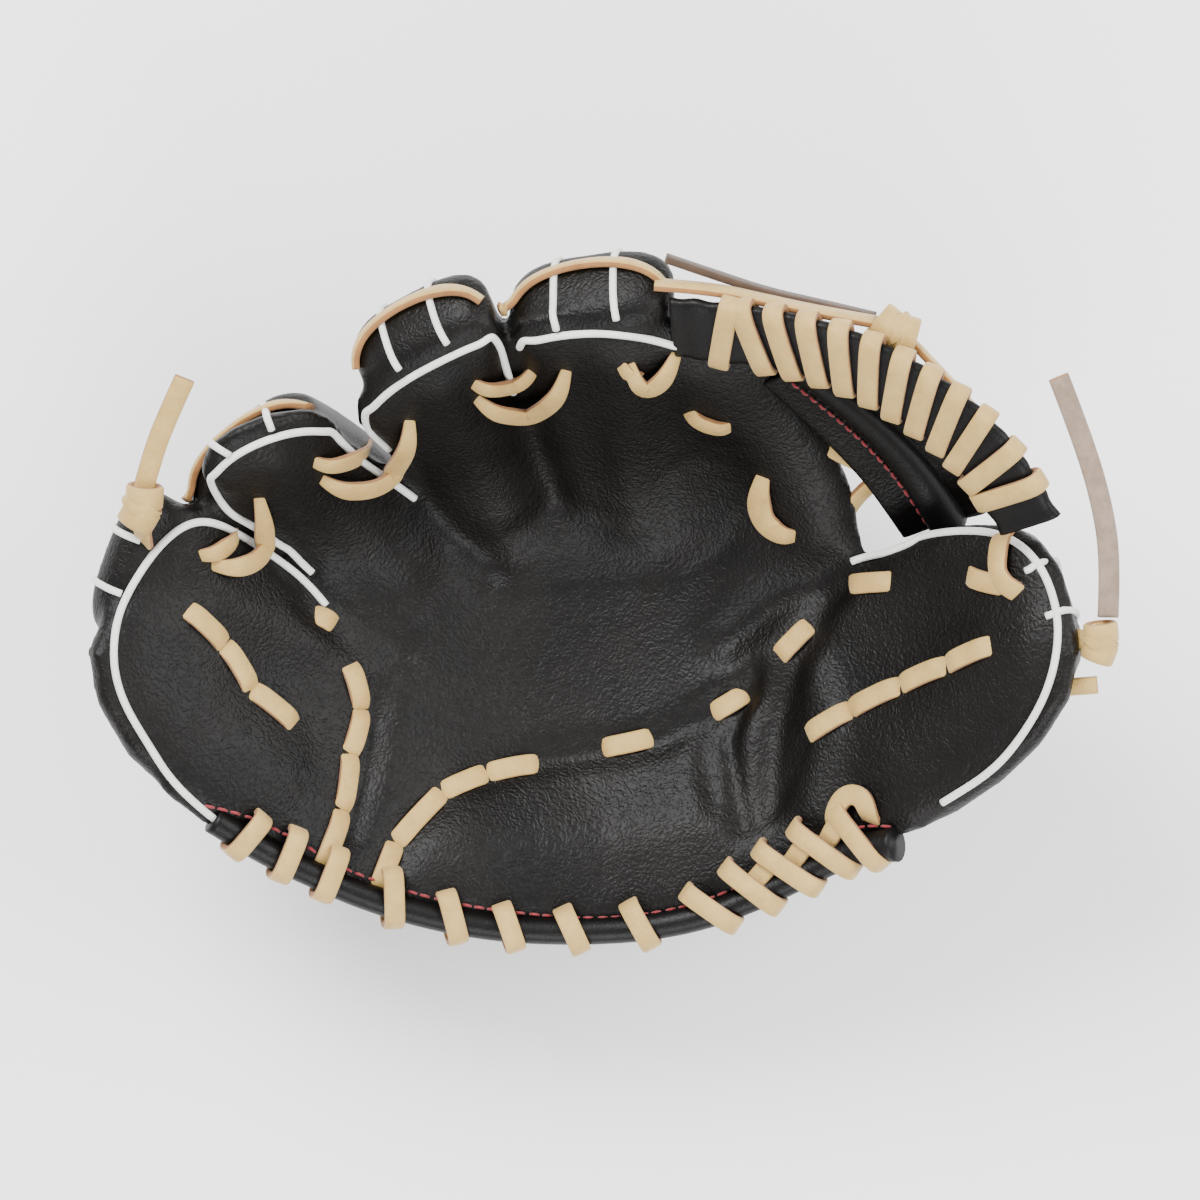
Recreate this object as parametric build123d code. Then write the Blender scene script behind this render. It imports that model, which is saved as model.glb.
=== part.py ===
from build123d import *
import os

# Infielder's baseball glove for the right hand, lying on its back with the pocket up.
# Millimetres, +Z up, +Y towards the fingertips, +X towards the thumb. It rests on z = 0, and the origin
# is below the middle of its box. Two bodies: the palm with the four fingers, and the thumb, which folds
# up about one crease.

os.makedirs("parts", exist_ok=True)

# ---- Driving dimensions, mm ----

FACE_HEIGHT = 46.0         # catching face above the table at the middle of the palm
THUMB_SIDE_RISE = 0.0040   # how fast the face climbs, per mm squared, towards each side and end
PINKY_SIDE_RISE = 0.0031
FINGER_END_RISE = 0.0147
HEEL_END_RISE = 0.0021
CORNER_RISE = 1.2e-6       # extra climb towards the ring and pinky tips

BACK_FLAT = (-36.0, 44.0, 5.0)         # the back is flat between these x values and below this y
BACK_RISE = (0.0095, 0.0121, 0.0145)   # and climbs past them at these rates

SHELL = 3.0                # leather of the outer shell
FELT = 8.0                 # palm padding
FINGER_FELT = 3.0
LINER = 2.0                # soft leather against the hand
LAYER_GAP = 0.1            # between layers that are sewn together
FOLD_GAP = 0.7             # each side of the thumb crease

LACE_WIDTH = 5.5
LACE_THICK = 2.2
LACE_SINK = 0.5            # how far a pulled lace bites into the leather
PIPING_RADIUS = 1.2
WELT_RADIUS = 0.9
ROLL_RADIUS = 3.6          # rolled heel binding
ROLL_DEPTH = 4.0           # its centre, under the catching face

BAR_WIDTH, BAR_THICK = 20.0, 5.0
BAR_WRAPS = 12
POST_THICK = 3.0

FOLD_LOW = Vector(48.5, -75.5)         # thumb crease, from the heel edge to the web crotch
FOLD_HIGH = Vector(71.5, 10.5)

COLUMN_HEIGHT = 260.0
GRID_STEP = 12
GRID_X = range(-168, 169, GRID_STEP)
GRID_Y = range(-120, 121, GRID_STEP)

UP = Vector(0, 0, 1)
nodes = {}


# ---- The two surfaces that everything follows ----

def face_height(x, y):
    """Height of the catching face."""
    side = THUMB_SIDE_RISE if x > 0 else PINKY_SIDE_RISE
    end = FINGER_END_RISE if y > 0 else HEEL_END_RISE
    corner = CORNER_RISE * x * x * y * y if x < 0 < y else 0.0
    return FACE_HEIGHT + side * x * x + end * y * y + corner


def back_height(x, y):
    """Height of the outside of the back."""
    left, right, top = BACK_FLAT
    past = (max(left - x, 0), max(x - right, 0), max(y - top, 0))
    return sum(rate * d * d for rate, d in zip(BACK_RISE, past))


def face_normal(x, y):
    step = 0.5
    slope_x = (face_height(x + step, y) - face_height(x - step, y)) / (2 * step)
    slope_y = (face_height(x, y + step) - face_height(x, y - step)) / (2 * step)
    return Vector(-slope_x, -slope_y, 1).normalized()


def on_face(x, y, depth=0.0):
    """Point that lies depth under the catching face."""
    return Vector(x, y, face_height(x, y)) - face_normal(x, y) * depth


def height_sheet(height, lift):
    rows = [[Vector(x, y, height(x, y) + lift) for y in GRID_Y] for x in GRID_X]
    return Face.make_surface_from_array_of_points(rows, tol=0.02, min_deg=3, max_deg=3)


# ---- Solids cut from layers of those surfaces ----

def area(curved, straight=()):
    """Flat outline: a smooth free edge through curved, closed by the straight points."""
    edges = [Spline(*curved), Polyline(curved[-1], *straight, curved[0])]
    return make_face(edges)


def column(outline):
    return extrude(outline, COLUMN_HEIGHT, dir=(0, 0, 1))


def layer(outline, height, lift, thickness):
    """Sheet of that thickness under the surface, raised by lift."""
    slab = extrude(height_sheet(height, lift), thickness, dir=(0, 0, -1))
    return slab & column(outline)


def filling(outline, under_face, over_back):
    """Everything inside the outline between the two surfaces."""
    below = extrude(height_sheet(face_height, -under_face), COLUMN_HEIGHT, dir=(0, 0, -1))
    above = extrude(height_sheet(back_height, over_back), COLUMN_HEIGHT, dir=(0, 0, 1))
    return column(outline) & below & above


# ---- Finger stalls ----

class Stall:
    """One hollow finger: its front lies on the catching face from base to tip."""

    CAP = 4.0        # rounded end past the last full section
    CORNER = 7.0

    def __init__(self, base, tip, base_size, tip_size):
        self.base, self.tip = Vector(*base), Vector(*tip)
        self.base_size, self.tip_size = base_size, tip_size

    def size(self, s):
        s = min(max(s, 0), 1)
        return [a + (b - a) * s for a, b in zip(self.base_size, self.tip_size)]

    def plane(self, s, depth=None):
        """Section plane at fraction s: x across the finger, y out through the catching face."""
        flat = self.base + (self.tip - self.base) * s
        normal = face_normal(flat.X, flat.Y)
        heading = self.tip - self.base
        across = heading.cross(normal).normalized()
        along = normal.cross(across)
        depth = self.size(s)[1] / 2 if depth is None else depth
        return Plane(on_face(flat.X, flat.Y, depth), x_dir=across, z_dir=along)

    def section(self, s, inset, shift=0.0, shrink=0.0):
        wide, thick = (d - 2 * inset - shrink for d in self.size(s))
        corner = min(self.CORNER - inset * 0.8, 0.45 * thick)
        return self.plane(s).offset(shift) * RectangleRounded(wide, thick, corner)

    def body(self, inset, start=0.0, stop=0.0):
        """Closed finger form, inset from the outside, moved back at its base and short of its tip."""
        rings = [self.section(0, inset, -start)] if start else []
        rings += [self.section(i / 3, inset) for i in range(3)]
        rings.append(self.section(1, inset, -stop))
        rings.append(self.section(1, inset, self.CAP - stop, shrink=5.0))
        return loft(rings, ruled=True)

    def shell(self):
        return self.body(0) - self.body(SHELL, start=6.0, stop=SHELL)

    def front_layer(self, under, thickness, side_gap, start=0.02, end=0.9):
        """Strip of padding behind the front wall."""
        rings = []
        for i in range(4):
            s = start + (end - start) * i / 3
            place = self.plane(s, depth=under + thickness / 2)
            rings.append(place * Rectangle(self.size(s)[0] - 2 * side_gap, thickness))
        return loft(rings, ruled=True)

    def edge(self, s, u):
        """Point on the catching face at fraction s, u half widths across."""
        place = self.plane(s, depth=0)
        return place.origin + place.x_dir * (u * self.size(s)[0] / 2)

    def cap(self, u, v):
        """Point on the end cap: u across, v from the back edge (-1) to the front edge (1)."""
        wide, thick = self.size(1)
        place = self.plane(1)
        side = place.x_dir * (u * (wide / 2 - 2.5))
        return place.origin + side + place.y_dir * (v * (thick / 2 - 2.5)) + place.z_dir * self.CAP


stalls = {
    "index": Stall((9.5, 16), (1.5, 68.5), (23, 40), (42, 24)),
    "middle": Stall((-14.5, 15), (-39, 61), (23, 40), (39, 22)),
    "ring": Stall((-38, 8), (-80, 32), (23, 42), (40, 22)),
    "pinky": Stall((-56, -16), (-115, 5.5), (24, 42), (40, 16)),
    "thumb": Stall((78, -16), (116, -1), (26, 38), (44, 15)),
}
fingers = ["index", "middle", "ring", "pinky"]

for name, stall in stalls.items():
    nodes[f"{name}_stall"] = stall.shell()

nodes["finger_felts"] = [stalls[name].front_layer(SHELL + 0.6, FINGER_FELT, 7.0) for name in fingers]
nodes["thumb_felt"] = stalls["thumb"].front_layer(SHELL + 0.6, FINGER_FELT, 7.0)


# ---- Palm: shell leather, felt, liner ----

fold_along = (FOLD_HIGH - FOLD_LOW).normalized()
fold_across = Vector(fold_along.Y, -fold_along.X)


def beside_fold(point, distance):
    """Point moved off the crease, towards the thumb for a positive distance."""
    moved = point + fold_across * distance
    return (moved.X, moved.Y)


palm_low, palm_high = beside_fold(FOLD_LOW, -FOLD_GAP), beside_fold(FOLD_HIGH, -FOLD_GAP)
thumb_low, thumb_high = beside_fold(FOLD_LOW, FOLD_GAP), beside_fold(FOLD_HIGH, FOLD_GAP)

palm_edge = [(-124, -20), (-116, -39), (-97, -55), (-76, -66.5), (-52, -77.5), (-23, -84.5),
             (8, -85), (29, -82), palm_low]
palm_inner = [palm_high, (66, 32), (55, 47), (43, 60), (31, 63), (26, 66), (26, 14), (-2, 13),
              (-24.5, 7.5), (-45, -3.5), (-50.5, -6), (-63, -31), (-79, -29), (-97, -25)]
nodes["palm_leather"] = layer(area(palm_edge, palm_inner), face_height, 0, SHELL)

pad_edge = [(-58, -70), (-22, -80), (8, -80.5), (27, -77.5), (43, -72)]
pad_inner = [(65, 9), (58, 32), (30, 56), (30, 11), (0, 9), (-25, 4), (-44, -7), (-58, -30)]
felt_lift = -(SHELL + LAYER_GAP)
liner_lift = felt_lift - FELT - LAYER_GAP
nodes["palm_felt"] = layer(area(pad_edge, pad_inner), face_height, felt_lift, FELT)
nodes["palm_liner"] = layer(area(pad_edge, pad_inner), face_height, liner_lift, LINER)


# ---- Heel pads and the outer backs beside the pinky and the thumb ----

def outer_back(outline, inside, cavity_side):
    """Back sheet with a side wall along its free edge, up to just under the catching face."""
    block = filling(area(outline, cavity_side), 2 * SHELL, 0)
    hollow = filling(area(inside[0], inside[1]), -SHELL, SHELL)
    return block - hollow


pinky_wall = [(-130, -21), (-121.5, -42), (-101, -59), (-79, -70), (-66, -75)]
pinky_hollow = [(-127, -10), (-118, -40), (-98, -56), (-76, -66.5), (-60, -73)]
nodes["pinky_back"] = outer_back(pinky_wall, (pinky_hollow, [(-60, -30), (-80, 0)]), [(-66, -33), (-100, -29)])

pinky_pad_edge = [(-111, -34), (-107, -41), (-94, -52), (-75, -62), (-68, -66)]
nodes["pinky_heel_pad"] = filling(area(pinky_pad_edge, [(-68, -40), (-98, -35)]),
                                  SHELL + LAYER_GAP, 2 * SHELL + 0.5)
pinky_stay_edge = [(-104, -37), (-92, -50), (-74, -60)]
nodes["pinky_stay"] = layer(area(pinky_stay_edge, [(-74, -41), (-98, -36)]),
                            back_height, 2 * SHELL + 0.2, SHELL)

thumb_edge = [(122, -24), (119.5, -32), (110.5, -44), (98, -53.5), (84.5, -61)]
thumb_heel = [(74, -62), (59, -69), thumb_low]
thumb_face_inner = [thumb_high, (79, 12.5), (80.5, 6), (71.5, -3.5), (83, -29.5), (97, -28), (112, -27)]
nodes["thumb_leather"] = layer(area(thumb_edge, thumb_heel + thumb_face_inner), face_height, 0, SHELL)

thumb_wall = [(127, -25), (124, -34), (114, -47), (100, -57), (86, -64)]
thumb_hollow = [(124, -14), (120.5, -32), (111, -44), (97.5, -53.5), (84, -60)]
thumb_back_inner = [(74, -65), (59, -71), thumb_low, (66, -10), (84, -26), (100, -32), (116, -31)]
thumb_hollow_inner = [(40, -60), (40, 10), (84, 10)]
nodes["thumb_back"] = outer_back(thumb_wall, (thumb_hollow, thumb_hollow_inner), thumb_back_inner)

thumb_pad_edge = [(112, -35), (104, -43), (92, -49.5), (80, -55)]
nodes["thumb_heel_pad"] = filling(area(thumb_pad_edge, [(66, -59), (66, -40), (84, -37), (98, -37)]),
                                  SHELL + LAYER_GAP, 2 * SHELL + 0.5)
thumb_stay_edge = [(106, -39), (92, -48), (76, -53)]
nodes["thumb_stay"] = layer(area(thumb_stay_edge, [(72, -43), (86, -39), (98, -38)]),
                            back_height, 2 * SHELL + 0.2, SHELL)


# ---- Back of the hand and the wrist strap ----

back_edge = [(-60, -24), (-54, -4), (-34, 16), (0, 28), (30, 22), (50, 4), (55, -24)]
nodes["back_panel"] = layer(area(back_edge), back_height, SHELL, SHELL)

strap_low = [(-64.5, -72), (-45, -77), (-20, -81), (10, -81), (42, -74)]
strap_high = [(46, -48), (14, -52), (-22, -52), (-64.5, -42)]
strap_outline = make_face([Spline(*strap_low), Line(strap_low[-1], strap_high[0]),
                           Spline(*strap_high), Line(strap_high[-1], strap_low[0])])
nodes["wrist_strap"] = layer(strap_outline, back_height, SHELL, SHELL)
lining_low = [(-58, -70), (-20, -77), (10, -77), (38, -71)]
lining_high = [(41, -52), (14, -55.5), (-22, -55.5), (-58, -47)]
lining_outline = make_face([Spline(*lining_low), Line(lining_low[-1], lining_high[0]),
                            Spline(*lining_high), Line(lining_high[-1], lining_low[0])])
nodes["strap_lining"] = layer(lining_outline, back_height, SHELL + 4.0 + LAYER_GAP, 4.0)


# ---- Loops that hold the thumb and the little finger inside their stalls ----

def finger_loop(stall, s, radius):
    """Ring of soft leather across the stall, wedged between its side walls."""
    place = stall.plane(s, depth=SHELL + 5.0 + radius)
    ring = Circle(radius) - Circle(radius - LINER)
    return extrude(place * ring, 6.0, both=True)


nodes["pinky_loop"] = finger_loop(stalls["pinky"], 0.25, 10.5)
nodes["thumb_loop"] = finger_loop(stalls["thumb"], 0.3, 11.0)


# ---- Round trim: heel binding, piping and welts ----

def tube(points, radius, bend):
    path = FilletPolyline(*points, radius=bend)
    return sweep(Plane(path @ 0, z_dir=path % 0) * Circle(radius), path)


heel_line = [(-96, -58.5), (-78, -69.8), (-54, -81), (-24, -88.2), (8, -88.8), (29, -85.6), (45, -79.6)]
thumb_heel_line = [(50, -78), (60, -72.2), (72, -66), (82, -65)]
nodes["heel_binding"] = tube([on_face(x, y, ROLL_DEPTH) for x, y in heel_line], ROLL_RADIUS, 30)
nodes["thumb_binding"] = tube([on_face(x, y, ROLL_DEPTH) for x, y in thumb_heel_line], ROLL_RADIUS, 12)


def tip_line(stall, first, last):
    """Points round the front of a fingertip, from one side of the finger to the other."""
    crown = [stall.edge(1.06 - 0.08 * abs(u), u) for u in (-0.7, 0.0, 0.7)]
    return [stall.edge(s, -0.97) for s in first] + crown + [stall.edge(s, 0.97) for s in last]


for name in ["index", "middle", "ring"]:
    nodes[f"{name}_piping"] = tube(tip_line(stalls[name], (0.55, 0.85), (0.85, 0.6)), PIPING_RADIUS, 3)
pinky_side = [on_face(x, y) for x, y in [(-99, -56.5), (-116, -40), (-125.5, -20)]]
pinky_piping = pinky_side + tip_line(stalls["pinky"], (), (0.85, 0.35))
nodes["pinky_piping"] = tube(pinky_piping, PIPING_RADIUS, 3)
thumb_side = [on_face(x, y) for x, y in [(123, -26), (110.5, -44.5), (84, -61.5)]]
thumb_tip = [stalls["thumb"].edge(s, u) for s, u in [(0.35, -0.97), (0.85, -0.97), (1.02, -0.6), (1.02, 0.6)]]
nodes["thumb_piping"] = tube(thumb_tip + thumb_side, PIPING_RADIUS, 3)


def welt(stall, u):
    """Piped seam over the end cap of a fingertip, parallel to the finger's thickness."""
    start, end = stall.cap(u, 1.0), stall.cap(u, -0.75)
    rod = Circle(WELT_RADIUS)
    return extrude(Plane(start, z_dir=end - start) * rod, (end - start).length)


nodes["finger_welts"] = [welt(stalls[name], u) for name in fingers for u in (-0.4, 0.4)]
nodes["thumb_welts"] = [welt(stalls["thumb"], u) for u in (-0.35, 0.35)]


# ---- Lacing ----

def strip(a, b, normal, sink=LACE_SINK, trim=1.0):
    """Flat lace pulled straight from a to b, its flat side facing along normal."""
    along = (b - a).normalized()
    out = (normal - along * normal.dot(along)).normalized()
    middle = (a + b) * 0.5 + out * (LACE_THICK / 2 - sink)
    length = (b - a).length - 2 * trim
    return Plane(middle, x_dir=along, z_dir=out) * Box(length, LACE_WIDTH, LACE_THICK)


def stitch(start, end):
    middle = ((start[0] + end[0]) / 2, (start[1] + end[1]) / 2)
    return strip(on_face(*start), on_face(*end), face_normal(*middle))


def run(points):
    """Lace that goes in and out of the leather along these points of the face."""
    return [stitch(a, b) for a, b in zip(points, points[1:])]


def loop(place, across, high):
    """Lace wrapped once round a strip of leather; place has x across it and z along it."""
    outer = RectangleRounded(across + 2 * LACE_THICK, high + 2 * LACE_THICK, LACE_THICK * 1.4)
    inner = RectangleRounded(across, high, LACE_THICK * 0.5)
    return extrude(place * (outer - inner), LACE_WIDTH / 2, both=True)


def heel_loops(line, fractions):
    """Laces over the rolled edge, each through the leather on one side and round the roll."""
    path = Spline(*[on_face(x, y, ROLL_DEPTH) for x, y in line])
    loops = []
    for fraction in fractions:
        centre, along = path @ fraction, path % fraction
        inward = UP.cross(along).normalized()
        loops.append(loop(Plane(centre + inward * 5.6, x_dir=inward, z_dir=along), 16.0, 8.4))
    return loops


nodes["heel_lacing"] = heel_loops(heel_line, [0.05, 0.145, 0.24, 0.34, 0.45, 0.55, 0.66, 0.78, 0.92])
nodes["thumb_heel_lacing"] = heel_loops(thumb_heel_line, [0.33, 0.52, 0.71, 0.9])

nodes["pinky_crease_lacing"] = run([(-63, -18), (-60, -29), (-63, -42), (-65, -57), (-69, -68)])
nodes["palm_lacing"] = (run([(-54, -75), (-50, -66), (-38, -52.5), (-25, -47.5), (-12, -45)])
                        + [stitch((4, -41), (20, -37.5)), stitch((34, -32), (44.5, -25)),
                           stitch((52, -16.5), (61.5, -6.5))])
nodes["pinky_face_lacing"] = run([(-105, -3), (-96, -12.5), (-89, -25), (-78, -34)])
nodes["thumb_face_lacing"] = run([(60.5, -37), (72, -30), (85, -23.5), (98, -18), (108, -12.5)])
nodes["thumb_crotch_lacing"] = [stitch((72, 3.5), (84, 4.5))]
nodes["web_edge_lacing"] = [stitch((28, 50), (40, 46)), stitch((48, 32), (51, 22)), stitch((51, 21.5), (58, 16))]

crotch_runs = [[(-103, 10), (-94.5, 14), (-86, 25)], [(-73, 34), (-60, 37), (-47, 46)],
               [(-31, 53), (-17, 54), (-5, 59)], [(10, 60), (16, 58), (24, 62)]]
nodes["finger_crotch_lacing"] = [piece for points in crotch_runs for piece in run(points)]


def tip_lace(stall):
    """Lace that arches over the back of a fingertip and draws the cap down."""
    arch = [stall.cap(u, v) for u, v in [(-0.95, 0.3), (-0.6, -0.55), (0, -0.85), (0.6, -0.55), (0.95, 0.3)]]
    return [strip(a, b, stall.plane(1).z_dir, trim=1.6) for a, b in zip(arch, arch[1:])]


nodes["fingertip_lacing"] = [piece for name in fingers[:3] for piece in tip_lace(stalls[name])]
nodes["thumb_tip_lacing"] = run([(104, 6), (114, 3), (111, 12)])


# ---- Web: crossbar, post and the laces that hold them ----

def ribbon(points, acrosses, width, thickness):
    """Strip of leather lofted through these points, each with its own direction across."""
    path = Spline(*points)
    rings = []
    for point, across in zip(points, acrosses):
        along = path % path.param_at_point(point)
        side = (across - along * across.dot(along)).normalized()
        rings.append(Plane(point, x_dir=side, z_dir=along) * Rectangle(width, thickness))
    return loft(rings)


bar_line = [Vector(24, 71.5, 111.5), Vector(45, 69.5, 117), Vector(71, 63, 120.5), Vector(91, 51.5, 119.5),
            Vector(107, 38, 116.5), Vector(118, 22.5, 112)]
bar_across = [Vector(0.1, 0.7, 0.7), Vector(0.15, 0.7, 0.7), Vector(0.3, 0.65, 0.7), Vector(0.45, 0.55, 0.7),
              Vector(0.5, 0.5, 0.7), Vector(0.55, 0.45, 0.7)]
nodes["web_bar"] = ribbon(bar_line, bar_across, BAR_WIDTH, BAR_THICK)

bar_path = Spline(*bar_line)
bar_loops = []
for i in range(BAR_WRAPS):
    fraction = 0.13 + 0.8 * i / (BAR_WRAPS - 1)
    centre, along = bar_path @ fraction, bar_path % fraction
    lean = Vector(0.1 + 0.45 * fraction, 0.7 - 0.25 * fraction, 0.7)
    across = (lean - along * lean.dot(along)).normalized()
    bar_loops.append(loop(Plane(centre, x_dir=across, z_dir=along), BAR_WIDTH + 0.6, BAR_THICK + 0.6))
nodes["web_bar_lacing"] = bar_loops

post_line = [Vector(58, 58, 104), Vector(70, 50, 92), Vector(81, 40, 80), Vector(90, 29.5, 68.5)]
post_across = [Vector(0.9, -0.25, 0.15), Vector(0.85, 0.1, 0.2), Vector(0.8, 0.3, 0.3), Vector(0.75, 0.4, 0.4)]
nodes["web_post"] = ribbon(post_line, post_across, 23.0, POST_THICK)
ridge_line = [point + Vector(0.8, 0.8, 3.6) for point in post_line]
nodes["web_ridge"] = ribbon(ridge_line, post_across, 8.0, 3.4)

tie_routes = [(Vector(61, 45, 79), Vector(75, 39, 76)), (Vector(71, 24, 64), Vector(84, 33, 70))]
nodes["web_tie_lacing"] = [strip(a, b, UP, sink=0, trim=0) for a, b in tie_routes]

strap_ties = [(Vector(39.5, y, SHELL), Vector(57, y + 1.5, 2 * SHELL + 0.4)) for y in (-50.5, -57)]
nodes["strap_lacing"] = [strip(a, b, UP, trim=0) for a, b in strap_ties]


# ---- Knots and the free ends of the laces ----

def knot(centre, along):
    """Overhand knot: two crossed turns of lace round a core."""
    core = Plane(centre, z_dir=along) * Cylinder(LACE_WIDTH * 0.75, LACE_WIDTH * 1.5)
    turn = Plane(centre, x_dir=along, z_dir=UP) * Box(LACE_WIDTH * 1.2, LACE_WIDTH * 2.1, LACE_THICK * 2.4)
    return core + turn


def tail(name, route):
    """Free end of a lace, from its knot, as straight runs joined by arcs."""
    points = [Vector(*point) for point in route]
    radii = []
    for before, corner, after in zip(points, points[1:], points[2:]):
        runs = (corner - before).length, (after - corner).length
        turn = (corner - before).get_angle(after - corner)
        radii.append(0.45 * min(runs) / Vector(1, 0).rotate(Axis.Z, turn / 2).Y
                     * Vector(1, 0).rotate(Axis.Z, turn / 2).X)
    path = FilletPolyline(*points, radius=radii)
    nodes[name] = sweep(Plane(path @ 0, z_dir=path % 0) * Circle(LACE_WIDTH / 2), path)
    print(name, "length", round(path.length, 1), "radii", [round(radius) for radius in radii])


pinky_tail_route = [(-117, 27, 100), (-114, 37.5, 103.8), (-110, 47.5, 107.5), (-105, 58, 110.3)]
thumb_tail_route = [(139, -5, 105), (139.6, 10, 107.5), (136.8, 26, 112), (131.2, 43, 117.5), (125, 58, 122.5)]
web_long_route = [(77, 74, 116.5), (62.5, 77.5, 115), (49, 80.5, 114.5), (35.5, 85, 114.7), (22, 89.5, 116)]
web_short_route = [(77, 72.5, 122), (63, 75, 120.3), (49, 78, 120), (34, 81.5, 119), (19, 82.5, 118)]
tail("pinky_lace_tail", pinky_tail_route)
tail("thumb_lace_tail", thumb_tail_route)
tail("web_lace_tail_long", web_long_route)
tail("web_lace_tail_short", web_short_route)

nodes["pinky_knot"] = knot(Vector(-117, 25, 99), Vector(0.3, 1, 0.3))
nodes["thumb_knot"] = knot(Vector(137, -11.5, 104), Vector(0.1, 1, 0.2))
nodes["web_knot"] = knot(Vector(83, 70.5, 121), Vector(1, -0.5, 0))


# ---- One file for each node ----

for name, shape in nodes.items():
    pieces = shape if isinstance(shape, list) else [shape]
    solids = [solid for piece in pieces for solid in piece.solids()]
    whole = Compound(children=solids) if len(solids) > 1 else solids[0]
    export_step(whole, f"parts/{name}.step")
print(len(nodes), "nodes")
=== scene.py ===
import math

import bmesh
import bpy
import numpy as np
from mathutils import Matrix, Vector
from mathutils.bvhtree import BVHTree


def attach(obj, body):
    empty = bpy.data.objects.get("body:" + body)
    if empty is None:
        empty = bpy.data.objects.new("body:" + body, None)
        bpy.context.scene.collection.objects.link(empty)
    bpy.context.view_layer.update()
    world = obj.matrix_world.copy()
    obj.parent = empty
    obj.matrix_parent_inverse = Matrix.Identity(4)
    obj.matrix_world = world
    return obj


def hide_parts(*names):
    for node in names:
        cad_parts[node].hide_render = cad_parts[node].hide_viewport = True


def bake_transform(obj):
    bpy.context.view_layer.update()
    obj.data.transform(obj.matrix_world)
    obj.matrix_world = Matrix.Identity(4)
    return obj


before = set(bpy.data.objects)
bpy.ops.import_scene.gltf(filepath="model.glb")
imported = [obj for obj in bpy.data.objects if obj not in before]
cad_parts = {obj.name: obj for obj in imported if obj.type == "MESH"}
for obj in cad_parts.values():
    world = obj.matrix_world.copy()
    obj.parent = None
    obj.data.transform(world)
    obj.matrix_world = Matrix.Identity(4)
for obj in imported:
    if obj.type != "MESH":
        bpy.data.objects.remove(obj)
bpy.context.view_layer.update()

# Infielder's glove on its back, pocket up. Shapes are worked out in millimetres from the middle of the
# back of the hand, and scaled to metres where each mesh is made.
MM = 0.001

FACE_HEIGHT = 46.0
FACE_RISE = {"thumb": 0.0040, "pinky": 0.0031, "fingers": 0.0147, "heel": 0.0021, "corner": 1.2e-6}
BACK_FLAT = (-36.0, 44.0, 5.0)
BACK_RISE = (0.0095, 0.0121, 0.0145)
LACE_WIDTH, LACE_THICK = 5.5, 2.0
GRID = 2.0
VOXEL = 1.5


# ---- Surfaces ----

def face_z(x, y):
    """Height of the catching face; x and y may be arrays."""
    x, y = np.asarray(x, float), np.asarray(y, float)
    side = np.where(x > 0, FACE_RISE["thumb"], FACE_RISE["pinky"])
    end = np.where(y > 0, FACE_RISE["fingers"], FACE_RISE["heel"])
    corner = np.where((x < 0) & (y > 0), FACE_RISE["corner"] * x * x * y * y, 0.0)
    return FACE_HEIGHT + side * x * x + end * y * y + corner


def back_z(x, y):
    """Height of the back of the glove: flat under the hand, rising past it."""
    x, y = np.asarray(x, float), np.asarray(y, float)
    left, right, top = BACK_FLAT
    past = (np.maximum(left - x, 0), np.maximum(x - right, 0), np.maximum(y - top, 0))
    return sum(rate * d * d for rate, d in zip(BACK_RISE, past))


def face_normal(x, y):
    step = 0.5
    slope_x = (face_z(x + step, y) - face_z(x - step, y)) / (2 * step)
    slope_y = (face_z(x, y + step) - face_z(x, y - step)) / (2 * step)
    normal = np.stack([-slope_x, -slope_y, np.ones_like(slope_x)], -1)
    return normal / np.linalg.norm(normal, axis=-1, keepdims=True)


def on_face(x, y, depth=0.0):
    point = np.stack([np.asarray(x, float), np.asarray(y, float), face_z(x, y)], -1)
    return point - face_normal(x, y) * np.asarray(depth)[..., None]


def edge_distance(points, outline):
    """Signed distance from 2-D points to a closed outline, positive inside."""
    a = np.asarray(outline, float)
    b = np.roll(a, -1, axis=0)
    best, inside = np.full(len(points), 1e9), np.zeros(len(points), bool)
    for p, q in zip(a, b):
        run = q - p
        t = np.clip(((points - p) @ run) / (run @ run), 0, 1)
        best = np.minimum(best, np.linalg.norm(points - p - t[:, None] * run, axis=1))
        if p[1] != q[1]:
            crosses = (p[1] > points[:, 1]) != (q[1] > points[:, 1])
            at = p[0] + (points[:, 1] - p[1]) / (q[1] - p[1]) * run[0]
            inside ^= crosses & (points[:, 0] < at)
    return np.where(inside, best, -best)


def line_distance(points, line):
    best = np.full(len(points), 1e9)
    for p, q in zip(np.asarray(line[:-1], float), np.asarray(line[1:], float)):
        run = q - p
        t = np.clip(((points - p) @ run) / (run @ run), 0, 1)
        best = np.minimum(best, np.linalg.norm(points - p - t[:, None] * run, axis=1))
    return best


def round_off(u):
    """Quarter circle from 0 at the edge to 1 at full thickness."""
    u = np.clip(u, 0, 1)
    return np.sqrt(1 - (1 - u) ** 2)


def soft_line(points, per_mm):
    """Smooth NURBS line through space near these points, as an array."""
    curve = bpy.data.curves.new("route", "CURVE")
    curve.dimensions = "3D"
    spline = curve.splines.new("NURBS")
    spline.points.add(len(points) - 1)
    for target, point in zip(spline.points, points):
        target.co = (*point, 1)
    spline.order_u = 3
    spline.use_endpoint_u = True
    spline.resolution_u = 12
    holder = bpy.data.objects.new("route", curve)
    mesh = bpy.data.meshes.new_from_object(holder)
    line = np.array([v.co for v in mesh.vertices], float)
    bpy.data.objects.remove(holder)
    bpy.data.curves.remove(curve)
    bpy.data.meshes.remove(mesh)
    steps = np.linalg.norm(np.diff(line, axis=0), axis=1)
    along = np.concatenate([[0], np.cumsum(steps)])
    count = max(4, int(along[-1] * per_mm) + 1)
    wanted = np.linspace(0, along[-1], count)
    return np.stack([np.interp(wanted, along, line[:, k]) for k in range(3)], 1)


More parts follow.
